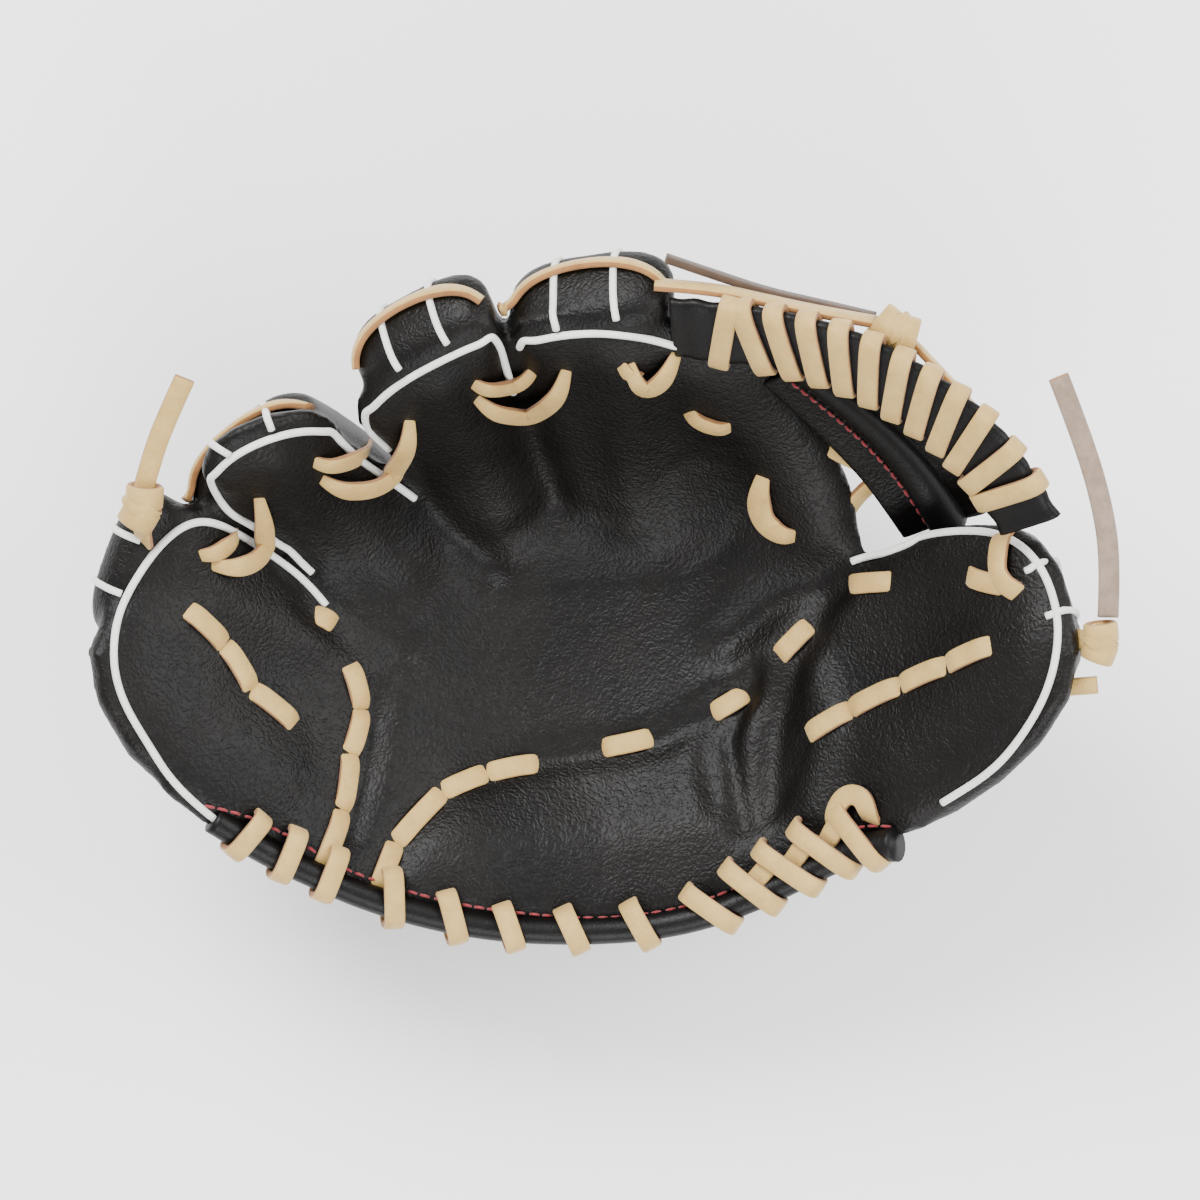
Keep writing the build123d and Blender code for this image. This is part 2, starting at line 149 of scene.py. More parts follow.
def smoothed(line, passes, keep=0.5):
    """Draw the inner points of a line towards their neighbours; the ends stay."""
    line = np.array(line, float)
    for _ in range(passes):
        line[1:-1] = line[1:-1] * keep + (line[:-2] + line[2:]) * ((1 - keep) / 2)
    return line


# ---- Materials ----

def nodes_of(name):
    material = bpy.data.materials.new(name)
    material.use_nodes = True
    tree = material.node_tree
    return material, tree, tree.nodes["Principled BSDF"]


def add(tree, kind, inputs=None, **settings):
    node = tree.nodes.new(kind)
    for key, value in settings.items():
        setattr(node, key, value)
    for key, value in (inputs or {}).items():
        if isinstance(value, bpy.types.NodeSocket):
            tree.links.new(value, node.inputs[key])
        else:
            node.inputs[key].default_value = value
    return node


def place(tree):
    return add(tree, "ShaderNodeTexCoord").outputs["Object"]


def noise(tree, where, scale, detail=4.0, rough=0.6):
    return add(tree, "ShaderNodeTexNoise", {"Vector": where, "Scale": scale, "Detail": detail,
                                            "Roughness": rough}).outputs["Fac"]


def mix_colours(tree, factor, low, high, start=0.35, stop=0.65):
    ramp = add(tree, "ShaderNodeValToRGB", {"Fac": factor})
    ramp.color_ramp.elements[0].position = start
    ramp.color_ramp.elements[0].color = (*low, 1)
    ramp.color_ramp.elements[1].position = stop
    ramp.color_ramp.elements[1].color = (*high, 1)
    return ramp.outputs["Color"]


def spread(tree, value, low, high):
    return add(tree, "ShaderNodeMapRange", {"Value": value, "To Min": low, "To Max": high}).outputs["Result"]


def math_node(tree, operation, a, b):
    return add(tree, "ShaderNodeMath", {0: a, 1: b}, operation=operation).outputs["Value"]


def leather(name, low, high, grain, grain_depth, rough=(0.36, 0.52)):
    """Dyed leather: pebbled grain, fine pores, slow colour change and rubbed, shinier high spots."""
    material, tree, shader = nodes_of(name)
    where = place(tree)
    slow = noise(tree, where, 35.0)
    tree.links.new(mix_colours(tree, slow, low, high), shader.inputs["Base Color"])
    tree.links.new(spread(tree, noise(tree, where, 90.0), *rough), shader.inputs["Roughness"])
    warp = add(tree, "ShaderNodeTexNoise", {"Vector": where, "Scale": 260.0, "Detail": 2.0}).outputs["Color"]
    moved = add(tree, "ShaderNodeMixRGB", {"Fac": 0.004, "Color1": where, "Color2": warp}).outputs["Color"]
    cells = add(tree, "ShaderNodeTexVoronoi", {"Vector": moved, "Scale": grain},
                feature="SMOOTH_F1").outputs["Distance"]
    pores = noise(tree, where, 2600.0, 2.0)
    folds = noise(tree, where, 150.0, 5.0, 0.7)
    height = math_node(tree, "ADD", math_node(tree, "MULTIPLY", cells, -1.0),
                       math_node(tree, "ADD", math_node(tree, "MULTIPLY", pores, 0.3),
                                 math_node(tree, "MULTIPLY", folds, 0.55)))
    bump = add(tree, "ShaderNodeBump", {"Height": height, "Strength": 0.55, "Distance": grain_depth})
    tree.links.new(bump.outputs["Normal"], shader.inputs["Normal"])
    shader.inputs["Specular IOR Level"].default_value = 0.17
    return material


def rawhide(name, low, high, rough, fibre):
    """Lace leather: long faint streaks on the face, or a fibrous cut edge."""
    material, tree, shader = nodes_of(name)
    where = place(tree)
    tree.links.new(mix_colours(tree, noise(tree, where, 160.0, 6.0, 0.7), low, high, 0.25, 0.75),
                   shader.inputs["Base Color"])
    tree.links.new(spread(tree, noise(tree, where, 300.0), rough - 0.08, rough + 0.1),
                   shader.inputs["Roughness"])
    height = math_node(tree, "ADD", noise(tree, where, fibre, 6.0, 0.75), noise(tree, where, fibre * 5, 3.0))
    bump = add(tree, "ShaderNodeBump", {"Height": height, "Strength": 0.5, "Distance": 0.0005})
    tree.links.new(bump.outputs["Normal"], shader.inputs["Normal"])
    shader.inputs["Sheen Weight"].default_value = 0.15
    return material


SHELL = leather("black_leather", (0.0016, 0.0013, 0.0012), (0.0042, 0.0034, 0.0030), 1150.0, 0.0004)
SMOOTH = leather("black_leather_smooth", (0.0016, 0.0013, 0.0013), (0.0038, 0.0033, 0.0032), 1400.0, 0.00015)
LINING = leather("lining_leather", (0.02, 0.017, 0.015), (0.045, 0.038, 0.033), 1100.0, 0.0002, (0.6, 0.8))
LACE = rawhide("rawhide_face", (0.37, 0.225, 0.055), (0.52, 0.345, 0.105), 0.5, 500.0)
LACE_EDGE = rawhide("rawhide_edge", (0.19, 0.075, 0.017), (0.36, 0.165, 0.045), 0.85, 1500.0)
# Darkened copy of the lace material, used on all faces of the long web tail: painted shade, not a colour of the
# lace.
LACE_PAINTED_SHADE = rawhide("rawhide_painted_shade", (0.03, 0.016, 0.009), (0.085, 0.046, 0.024), 0.9, 1500.0)
SUEDE = rawhide("rawhide_suede", (0.17, 0.115, 0.08), (0.33, 0.25, 0.19), 0.9, 1800.0)
PIPING = rawhide("white_piping", (0.62, 0.63, 0.60), (0.80, 0.81, 0.78), 0.45, 700.0)
THREAD = rawhide("red_thread", (0.17, 0.006, 0.01), (0.32, 0.014, 0.024), 0.6, 3000.0)
FLEECE = rawhide("strap_fleece", (0.03, 0.028, 0.026), (0.09, 0.085, 0.08), 0.95, 2500.0)


# ---- Mesh helpers ----

def piece(name, points, faces, materials, face_materials=None):
    """New mesh object from points in millimetres."""
    mesh = bpy.data.meshes.new(name)
    mesh.from_pydata([tuple(float(c) * MM for c in p) for p in points], [], [list(f) for f in faces])
    mesh.validate()
    obj = bpy.data.objects.new(name, mesh)
    bpy.context.scene.collection.objects.link(obj)
    for material in materials:
        mesh.materials.append(material)
    if face_materials is not None:
        mesh.polygons.foreach_set("material_index", face_materials)
    mesh.polygons.foreach_set("use_smooth", [True] * len(mesh.polygons))
    bm = bmesh.new()
    bm.from_mesh(mesh)
    bmesh.ops.recalc_face_normals(bm, faces=bm.faces)
    bm.to_mesh(mesh)
    bm.free()
    return obj


def merged(parts):
    """Join (points, faces) lists, with per-face marks if they have them."""
    points, faces, marks, start = [], [], [], 0
    for part in parts:
        points += list(part[0])
        faces += [[i + start for i in f] for f in part[1]]
        marks += list(part[2]) if len(part) > 2 else [0] * len(part[1])
        start += len(part[0])
    return points, faces, marks


def swept(line, ups, section, cut_marks=None, closed=False, scale=None):
    """Carry a closed section (across, up) along a line; ups says which way the section's top faces."""
    line, ups = np.asarray(line, float), np.asarray(ups, float)
    count, ring = len(line), len(section)
    if closed:
        along = np.roll(line, -1, axis=0) - np.roll(line, 1, axis=0)
    else:
        along = np.gradient(line, axis=0)
    along /= np.linalg.norm(along, axis=1, keepdims=True)
    ups = ups - along * np.sum(ups * along, axis=1, keepdims=True)
    ups /= np.linalg.norm(ups, axis=1, keepdims=True)
    across = np.cross(along, ups)
    points = []
    for i in range(count):
        size = 1.0 if scale is None else scale[i]
        for a, b in section:
            points.append(line[i] + across[i] * a * size + ups[i] * b * size)
    faces, marks = [], []
    rows = count if closed else count - 1
    for i in range(rows):
        for j in range(ring):
            k, n = (j + 1) % ring, ((i + 1) % count) * ring
            faces.append([i * ring + j, i * ring + k, n + k, n + j])
            marks.append(cut_marks[j] if cut_marks else 0)
    if not closed:
        faces += [list(range(ring))[::-1], list(range((count - 1) * ring, count * ring))]
        marks += [max(cut_marks) if cut_marks else 0] * 2
    return points, faces, marks


def lace_section(width=LACE_WIDTH, thick=LACE_THICK, bevel=0.45):
    w, t = width / 2, thick / 2
    return [(-w, -t + bevel), (-w, t - bevel), (-w + bevel, t), (0, t * 1.06), (w - bevel, t), (w, t - bevel),
            (w, -t + bevel), (w - bevel, -t), (0, -t), (-w + bevel, -t)]


LACE_CUTS = [1, 0, 0, 0, 0, 1, 1, 0, 0, 1]


def circle(radius, sides=12):
    turns = [2 * math.pi * i / sides for i in range(sides)]
    return [(radius * math.cos(a), radius * math.sin(a)) for a in turns]


def bends_with_thumb(obj):
    """The thumb crease is a band of leather; this only bakes the piece's placement into its mesh and ties it to
    no body.
    """
    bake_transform(obj)



def carried(obj, body):
    """Fix a piece to one body, or, where the body is called fold, only bake its placement into its mesh."""
    if body == "fold":
        bends_with_thumb(obj)
    else:
        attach(obj, body)


# ---- Padded shell: palm, fingers, heel pads and back as one skin ----

FRONT = [(-98, -59.5), (-108, -51.5), (-116, -39), (-123, -27), (-125.5, -16), (-123.7, -3),
         (-116.5, 10), (-109, 18), (-103, 21), (-97, 20), (-86, 13), (-74, 4), (-69.5, -2), (-73, 7),
         (-85, 18), (-97, 24), (-99.8, 28.5), (-97, 34.5), (-90, 39.5), (-80, 43.5), (-70, 45),
         (-64, 42.5), (-60.5, 37), (-52.5, 32), (-45.5, 27), (-52, 36.5), (-58.5, 41.5), (-58.5, 47),
         (-54, 53), (-46, 58.5), (-36, 63.5), (-26, 68), (-21.5, 67), (-19.3, 62), (-18.6, 55),
         (-17.3, 63), (-17, 66.5), (-10, 69), (3, 70.3), (16, 69), (23.5, 67), (29, 65.3), (36, 64.2),
         (43, 62.5), (49, 58.5), (54, 51.5), (60, 44), (65, 36.5), (69.5, 27), (71.7, 17), (72.5, 10),
         (78, 12), (85, 14.8), (93, 17), (101, 18), (110, 17.5), (117, 14), (122.5, 7),
         (125.6, -3), (126, -12), (123.8, -23), (119, -33), (111.5, -43.5), (104, -49.5), (96, -54.5),
         (87, -61), (80, -63), (70, -65.5), (58, -72), (42, -80), (27, -86), (5, -89), (-20, -88.3),
         (-35, -86.3), (-52, -82.3), (-67, -76.5), (-77, -70.5), (-86, -65)]
SLAB = 11.0
EDGE_DROP = 4.0

# Creases and swells of the catching face: line, height (negative is a groove), half width.
FOLDS = [
    ([(-16, 56), (-14, 42), (-8, 26)], -4.0, 5.0),
    ([(-46, 28), (-36, 16), (-26, 8)], -4.0, 5.5),
    ([(-70, -2), (-60, -10), (-52, -14)], -3.5, 5.0),
    ([(73, 9), (62, 4), (50, -2), (38, -12)], -4.0, 6.0),
    ([(66, 2), (58, -16), (52, -34), (50, -56)], -2.6, 4.0),
    ([(46, -20), (39, -38), (43, -62)], -3.5, 2.4),
    ([(36, -26), (33, -42), (36, -58)], -2.2, 2.0),
    ([(62, -20), (66, -36), (62, -56)], 2.2, 6.0),
    ([(-56, -24), (-58, -44), (-63, -64)], -3.0, 3.5),
    ([(-52, -74), (-47, -62), (-34, -50), (-12, -44), (20, -39), (44, -26)], -2.6, 4.0),
    ([(-30, -68), (5, -66), (30, -60)], 3.5, 14.0),
    ([(84, -40), (100, -28), (112, -14)], 3.0, 14.0),
    ([(-84, -46), (-100, -28), (-104, -8)], 3.0, 14.0),
    ([(10, 60), (12, 40), (14, 22)], 2.5, 9.0),
    ([(-38, 56), (-30, 40), (-22, 24)], 2.5, 8.0),
    ([(-80, 36), (-64, 22), (-48, 10)], 2.5, 8.0),
    ([(-106, 8), (-88, -4), (-74, -10)], 2.0, 8.0),
    ([(30, 58), (50, 38), (62, 18)], 1.5, 7.0),
]
# Fine wrinkles: line, and how many lie beside each other.
WRINKLE_DEPTH, WRINKLE_HALF = 0.55, 0.9
WRINKLE_STEP = (3.4, 2.6)
WRINKLES = [
    ([(-20, 18), (-4, 22), (10, 20)], 3),
    ([(-28, -4), (-8, 2), (14, 2)], 3),
    ([(28, 4), (40, 14), (46, 26)], 3),
    ([(58, -8), (66, -22), (70, -38)], 3),
    ([(-50, -30), (-44, -12), (-38, 4)], 3),
    ([(-4, -48), (6, -60), (8, -76)], 2),
    ([(50, -60), (58, -48), (62, -38)], 2),
    ([(-78, -20), (-70, -34), (-72, -52)], 2),
    ([(24, 34), (34, 40), (44, 40)], 2),
]


def relief(points):
    """Height of the folds and fine wrinkles at 2-D points."""
    total = np.zeros(len(points))
    for line, height, half in FOLDS:
        total += height * np.exp(-(line_distance(points, line) / half) ** 2)
    for line, count in WRINKLES:
        for i in range(count):
            moved = [(x + WRINKLE_STEP[0] * (i - 1), y + WRINKLE_STEP[1] * (i - 1) + (i % 2)) for x, y in line]
            total -= WRINKLE_DEPTH * np.exp(-(line_distance(points, moved) / WRINKLE_HALF) ** 2)
    return total


def leaf(outline, top_and_bottom):
    """Closed pillow over an outline; top_and_bottom gives both surfaces from x, y and edge distance."""
    outline = np.asarray(outline, float)
    low, high = outline.min(0) - GRID, outline.max(0) + GRID
    xs, ys = np.arange(low[0], high[0] + GRID, GRID), np.arange(low[1], high[1] + GRID, GRID)
    grid = np.stack(np.meshgrid(xs, ys, indexing="ij"), -1).reshape(-1, 2)
    distance = edge_distance(grid, outline)
    near = np.abs(distance) < GRID * 0.75
    nudges = ([0.5, 0], [0, 0.5])
    slope = np.stack([edge_distance(grid[near] + nudge, outline) - edge_distance(grid[near] - nudge, outline)
                      for nudge in nudges], 1)
    slope /= np.maximum(np.linalg.norm(slope, axis=1, keepdims=True), 0.2)
    grid[near] -= slope * distance[near][:, None]
    distance[near] = 0
    top, bottom = top_and_bottom(grid[:, 0], grid[:, 1], np.maximum(distance, 0))
    rows, columns = len(xs), len(ys)
    index = np.arange(rows * columns).reshape(rows, columns)
    cells = np.stack([index[:-1, :-1], index[1:, :-1], index[1:, 1:], index[:-1, 1:]], -1).reshape(-1, 4)
    keep = cells[(distance[cells] >= 0).all(1)]
    shift = len(grid)
    faces = [list(c) for c in keep] + [[int(i) + shift for i in c[::-1]] for c in keep]
    edges = {}
    for cell in keep:
        for a, b in zip(cell, np.roll(cell, -1)):
            edges[(a, b)] = edges.get((a, b), 0) + 1
    for a, b in edges:
        if (b, a) not in edges:
            faces.append([b, a, a + shift, b + shift])
    return list(top) + list(bottom), faces


def front_leaf(x, y, d):
    drop = EDGE_DROP * (1 - round_off(d / 9.0)) + 2.0 * (1 - round_off(d / 20.0))
    lift = relief(np.stack([x, y], 1)) * np.clip(d / 6.0, 0, 1)
    body = SLAB * round_off(d / 8.0) + 0.6
    return on_face(x, y, drop - lift), on_face(x, y, drop + np.maximum(body - drop * 0.3, 0.5))


def heel_block(x, y, d):
    """Stuffed heel pad: fullest a little under the front edge, then drawn in towards the back."""
    top, low = face_z(x, y) - 3.0, back_z(x, y)
    widest = top - 9.0
    high = widest + (top - widest) * round_off(d / 7.0)
    under = widest - (widest - low) * round_off(d / 16.0)
    return np.stack([x, y, high], 1), np.stack([x, y, under], 1)


def back_leaf(x, y, d):
    low = back_z(x, y) + 1.5 * (1 - round_off(d / 4.0))
    return np.stack([x, y, low + 1.0 + 3.0 * round_off(d / 4.0)], 1), np.stack([x, y, low], 1)


def side_wall(x, y, d):
    """Leather between the front and the back of the glove, from the index stall to the thumb."""
    return np.stack([x, y, face_z(x, y) - 5.0], 1), np.stack([x, y, back_z(x, y) + 1.0], 1)


WEB_SIDE = [(26, 40), (48, 33), (62, 22), (76, 8), (80, -4), (72, -8), (66, 4), (54, 15), (42, 24),
            (25, 30)]
PINKY_HEEL = [(-66, -73), (-79, -68), (-97, -60), (-110, -53), (-122, -42), (-130, -28), (-132.5, -14),
              (-128, -4), (-104, -4), (-84, -14), (-66, -22)]
THUMB_HEEL = [(66, -66), (78, -63.5), (88, -63), (100, -57.5), (112, -49), (122, -39), (129.5, -27),
              (132, -14), (130, -2), (112, -6), (92, -4), (80, 6), (72, 8), (66, -4), (64, -30)]
BACK_OF_HAND = [(-68, -30), (-82, -16), (-78, 4), (-60, 20), (-34, 36), (0, 41), (30, 37), (54, 22), (70, 8),
                (80, -10), (74, -30), (40, -25), (0, -21), (-40, -24)]

# Finger stalls: base and tip in the plane, then width and depth at the base and at the tip.
STALLS = {
    "index": ((9.5, 14), (2.3, 67.0), (29, 42), (46, 25)),
    "middle": ((-15, 13), (-39, 59.5), (27, 42), (43, 23)),
    "ring": ((-36, 6), (-83, 29.5), (30, 44), (43, 22)),
    "pinky": ((-54, -16), (-115.5, 6.5), (34, 44), (42, 15)),
    "thumb": ((76, -16), (116, -1), (36, 40), (44, 14)),
}
TIP_HEADING = {"ring": (-0.6, 0.8)}
# Rounded end of a stall: how far past the tip, and how wide.
CAP_RINGS = [(1.5, 0.97), (4.5, 0.86), (6.5, 0.66), (7.4, 0.38), (7.6, 0.1)]


def stall_frame(name, s):
    """Middle, directions and size of a stall at s, from 0 at its base to 1 at its tip."""
    base, tip, base_size, tip_size = (np.asarray(v, float) for v in STALLS[name])
    flat = base + (tip - base) * s
    normal = face_normal(flat[0], flat[1])
    heading = (tip - base) / np.linalg.norm(tip - base)
    turn = np.clip(s, 0, 1) ** 2
    heading = heading * (1 - turn) + np.array(TIP_HEADING.get(name, heading)) * turn
    across = np.cross(np.append(heading, 0), normal)
    across /= np.linalg.norm(across)
    along = np.cross(normal, across)
    size = base_size + (tip_size - base_size) * np.clip(s, 0, 1)
    middle = on_face(flat[0], flat[1], 1.5 + size[1] / 2)
    return middle, across, normal, along, size


def stall_tube(name, sides=40):
    """Closed tube round one finger, with a rounded end."""
    points, rings = [], []
    stops = [(s, 0.0, 1.0) for s in np.linspace(-0.05, 1, 12)]
    stops += [(1.0, out, size) for out, size in CAP_RINGS]
    for s, out, scale in stops:
        middle, across, normal, along, size = stall_frame(name, s)
        for i in range(sides):
            turn = 2 * math.pi * i / sides
            c, w = math.cos(turn), math.sin(turn)
            a = abs(c) ** 0.62 * math.copysign(size[0] / 2, c)
            b = abs(w) ** 0.72 * math.copysign(size[1] / 2, w)
            points.append(middle + across * a * scale + normal * b * scale + along * out)
        rings.append(len(points) - sides)
    faces = []
    for low, high in zip(rings, rings[1:]):
        faces += [[low + i, low + (i + 1) % sides, high + (i + 1) % sides, high + i] for i in range(sides)]
    faces += [list(range(sides))[::-1], list(range(rings[-1], rings[-1] + sides))]
    return points, faces


def voxel_skin(name, parts, voxel):
    """One closed skin round overlapping closed pieces."""
    points, faces, _ = merged(parts)
    rough = piece(name + "_rough", points, faces, [])
    modifier = rough.modifiers.new("skin", "REMESH")
    modifier.mode, modifier.voxel_size = "VOXEL", voxel * MM
    bpy.context.view_layer.update()
    skin = bpy.data.meshes.new_from_object(rough.evaluated_get(bpy.context.evaluated_depsgraph_get()))
    bpy.data.objects.remove(rough)
    return skin


def relax(mesh, passes):
    """Draw every point of a mesh halfway to the middle of its neighbours."""
    count = len(mesh.vertices)
    co = np.empty(count * 3)
    mesh.vertices.foreach_get("co", co)
    co = co.reshape(-1, 3)
    pairs = np.empty(len(mesh.edges) * 2, int)
    mesh.edges.foreach_get("vertices", pairs)
    a, b = pairs.reshape(-1, 2).T
    degree = np.bincount(np.concatenate([a, b]), minlength=count)[:, None]
    for _ in range(passes):
        total = np.zeros_like(co)
        np.add.at(total, a, co[b])
        np.add.at(total, b, co[a])
        co = (co + total / np.maximum(degree, 1)) / 2
    mesh.vertices.foreach_set("co", co.ravel())
    mesh.update()


LEAVES = [(FRONT, front_leaf), (PINKY_HEEL, heel_block), (THUMB_HEEL, heel_block), (BACK_OF_HAND, back_leaf),
          (WEB_SIDE, side_wall)]
shell_parts = [leaf(outline, surfaces) for outline, surfaces in LEAVES] + [stall_tube(n) for n in STALLS]
shell_mesh = voxel_skin("shell", shell_parts, VOXEL)
relax(shell_mesh, passes=5)
shell = bpy.data.objects.new("glove_shell", shell_mesh)
bpy.context.scene.collection.objects.link(shell)
shell_mesh.materials.clear()
shell_mesh.materials.append(SHELL)
shell_mesh.polygons.foreach_set("use_smooth", [True] * len(shell_mesh.polygons))

bm = bmesh.new()
bm.from_mesh(shell_mesh)
skin = BVHTree.FromBMesh(bm)
bm.free()


RAY_TOP = 200.0


def seen_from_above(x, y):
    """Where a line straight down meets the shell, in metres, and the normal there; None twice if it misses."""
    return skin.ray_cast(Vector((x, y, RAY_TOP)) * MM, Vector((0, 0, -1)))[:2]


def on_skin(x, y, lift=0.0):
    """Point of the shell seen from above, and the direction it faces."""
    hit, normal = seen_from_above(x, y)
    smooth = face_normal(x, y)
    if hit is None:
        return on_face(x, y, -lift), smooth
    facing = np.array(normal) * 0.4 + smooth * 0.6
    facing /= np.linalg.norm(facing)
    return np.array(hit) / MM + facing * lift, facing


def near_skin(point, lift=0.0):
    """Nearest point of the shell, and the direction it faces."""
    hit, normal, _, _ = skin.find_nearest(Vector(point) * MM)
    return np.array(hit) / MM + np.array(normal) * lift, np.array(normal)


# ---- Piping along the front edges ----

PIPING_RADIUS, WELT_RADIUS = 1.05, 1.0


def edge_of_skin(x, y):
    """Point of the shell below its front outline, or the nearest one where the outline overhangs."""
    hit, normal = seen_from_above(x, y)
    if hit is not None and 0 < face_z(x, y) - hit.z / MM < 7.0:
        return np.array(hit) / MM + np.array(normal) * 0.3
    return near_skin(on_face(x, y, 2.5), 0.3)[0]


def piping(name, route, replaced, body):
    """White cord sewn into the seam round a front panel: route is in the plane, on the shell's edge."""
    flat = soft_line([(x, y, 0) for x, y in route], per_mm=1.0)
    line = smoothed([edge_of_skin(x, y) for x, y, _ in flat], passes=8, keep=0.4)
    ups = [near_skin(p)[1] for p in line]
    points, faces, _ = swept(line, ups, circle(PIPING_RADIUS))
    obj = piece(name, points, faces, [PIPING])
    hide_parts(*replaced)
    carried(obj, body)


piping("piping_pinky", FRONT[0:13], ["pinky_piping"], "palm")
piping("piping_ring", FRONT[13:25], ["ring_piping"], "palm")
piping("piping_middle", FRONT[25:35], ["middle_piping"], "palm")
piping("piping_index", FRONT[35:43], ["index_piping"], "palm")
piping("piping_thumb", FRONT[50:65], ["thumb_piping"], "fold")


# Welt over a fingertip: height in half depths of the stall, and how far past its tip.
WELT_BOW = [(0.85, 4.5), (0.6, 6.6), (0.25, 8.2), (-0.35, 8.2), (-0.8, 6.0), (-1.0, 2.0)]
RING_TIP_HEIGHT = 92.0


def welt(line):
    line = [near_skin(p, 0.2)[0] for p in line]
    return swept(line, [near_skin(p)[1] for p in line], circle(WELT_RADIUS, 10))


def welts(name, stall_names, us, replaced, body, seen_routes=()):
    """Piped seams over the fingertips, from the front panel to the back; seen_routes lie in the plane."""
    parts = []
    for route in seen_routes:
        flat = soft_line([(x, y, 0) for x, y in route], per_mm=1.0)
        missed = [seen_from_above(x, y)[0] is None for x, y, _ in flat]
        parts.append(welt([(x, y, RING_TIP_HEIGHT) if off else on_skin(x, y)[0]
                           for (x, y, _), off in zip(flat, missed)]))
    for stall in stall_names:
        for u in us:
            middle, across, normal, along, size = stall_frame(stall, 1.0)
            start = middle + across * u * size[0] / 2
            parts.append(welt(soft_line([start + normal * v * size[1] / 2 + along * out for v, out in WELT_BOW],
                                        per_mm=1.0)))
    points, faces, _ = merged(parts)
    obj = piece(name, points, faces, [PIPING])
    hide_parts(*replaced)
    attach(obj, body)


RING_WELTS = [[(-82.4, 44.5), (-83.5, 48), (-85.8, 53)], [(-93.5, 38), (-97, 40), (-101, 42.5)]]
welts("welts_fingers", ["index", "middle", "pinky"], (-0.36, 0.36), ["finger_welts"], "palm", RING_WELTS)
welts("welts_thumb", ["thumb"], (-0.3, 0.32), ["thumb_welts"], "thumb")


# ---- Laces ----

LACE_SINK = 3.5


def lace_on_skin(route, lift=0.9, width=LACE_WIDTH, dip=4.0, pointed=0.0):
    """Lace that comes out of the leather, lies on it and goes back in, along points of the plane."""
    flat = soft_line([(x, y, 0) for x, y in route], per_mm=1.2)
    steps = np.linalg.norm(np.diff(flat, axis=0), axis=1)
    along = np.concatenate([[0], np.cumsum(steps)])
    from_end = np.minimum(along, along[-1] - along)
    line, ups = [], []
    for (x, y, _), end in zip(flat, from_end):
        point, facing = on_skin(x, y)
        rise = lift - (lift + LACE_SINK) * (1 - min(end / dip, 1.0)) ** 2
        line.append(point + facing * rise)
        ups.append(facing)
    scale = 1 - pointed * (1 - np.clip(from_end / 9.0, 0, 1)) ** 1.6
    return swept(smoothed(line, passes=4), smoothed(ups, passes=4), lace_section(width), LACE_CUTS, scale=scale)


def lace_piece(name, parts, replaced, body):
    points, faces, marks = merged(parts)
    obj = piece(name, points, faces, [LACE, LACE_EDGE], marks)
    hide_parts(*replaced)
    carried(obj, body)


def stitches(points, overlap=1.2):
    """Separate lengths of lace, each from one hole to the next along a row of holes."""
    routes = []
    for a, b in zip(points, points[1:]):
        a, b = np.array(a, float), np.array(b, float)
        run = (b - a) / np.linalg.norm(b - a)
        side = np.array([-run[1], run[0]]) * 0.6
        routes.append(lace_on_skin([a - run * overlap, (a + b) / 2 + side, b + run * overlap]))
    return routes


lace_piece("lace_pinky_crease", stitches([(-63, -18), (-60, -30), (-63, -42), (-65, -57), (-70, -72)]),
           ["pinky_crease_lacing"], "palm")
PALM_DASHES = [[(4, -41), (12, -39.6), (20, -37.5)], [(34, -32), (39.5, -29), (45, -25)],
               [(52, -16.5), (57, -11.8), (62, -6.3)]]
lace_piece("lace_palm", stitches([(-55, -78), (-50.5, -66), (-38, -52.5), (-26, -47.5), (-12, -45)])
           + [lace_on_skin(route) for route in PALM_DASHES], ["palm_lacing"], "palm")
lace_piece("lace_pinky_face", stitches([(-105.5, -3), (-96, -12.5), (-89, -24.5), (-77.5, -34)]),
           ["pinky_face_lacing"], "palm")
lace_piece("lace_thumb_face", stitches([(60.5, -37), (72, -30), (85, -23.5), (97, -18), (108.5, -12.5)]),
           ["thumb_face_lacing"], "fold")
lace_piece("lace_thumb_crotch", [lace_on_skin([(70.5, 3.4), (77, 4.2), (84, 4.6)])],
           ["thumb_crotch_lacing"], "fold")
WIDE_CRESCENT = [(48.5, 34), (47, 25), (52, 18), (58.5, 16)]
lace_piece("lace_web_edge", [lace_on_skin([(27, 50.5), (32, 46), (41, 45.2)], pointed=0.3),
                             lace_on_skin(WIDE_CRESCENT, lift=1.6, width=6.8, pointed=0.6)],
           ["web_edge_lacing"], "palm")
LOWER_CRESCENTS = [[(-101, 9), (-93, 8), (-85.5, 14), (-86.5, 28.5)],
                   [(-71.5, 32), (-59, 29), (-49, 37), (-45.5, 49)],
                   [(-30, 53.5), (-18, 49.5), (-7, 54), (-3.5, 62)],
                   [(11.5, 63.5), (14.5, 57.5), (20, 58), (26, 66)]]
UPPER_CRESCENTS = [[(-104, 10.5), (-98, 12.5), (-91, 18.5)], [(-73.5, 36), (-64, 36), (-55.5, 41.5)],
                   [(-31, 56.8), (-21, 56), (-11.5, 60.8)], [(8.5, 62.5), (13, 59.5), (17, 58)]]
lace_piece("lace_finger_crotches",
           [lace_on_skin(route, lift=3.4, dip=7.0, pointed=0.7) for route in LOWER_CRESCENTS]
           + [lace_on_skin(route, lift=2.0, dip=6.0, pointed=0.6) for route in UPPER_CRESCENTS]
           + [lace_on_skin([(-73.5, -4), (-70, -5), (-66, -8)])], ["finger_crotch_lacing"], "palm")
lace_piece("lace_thumb_tip", [lace_on_skin([(101.5, 6.5), (106, 4.5), (113, 3)], dip=3.0),
                              lace_on_skin([(116, 0.5), (112, 5), (111, 10), (112.5, 19)], lift=2.2)],
           ["thumb_tip_lacing"], "thumb")


TIP_ARCH = (-1.02, -0.8, -0.35, 0.1, 0.55, 0.9, 1.02)
TIP_LACE_WIDTH = 4.6


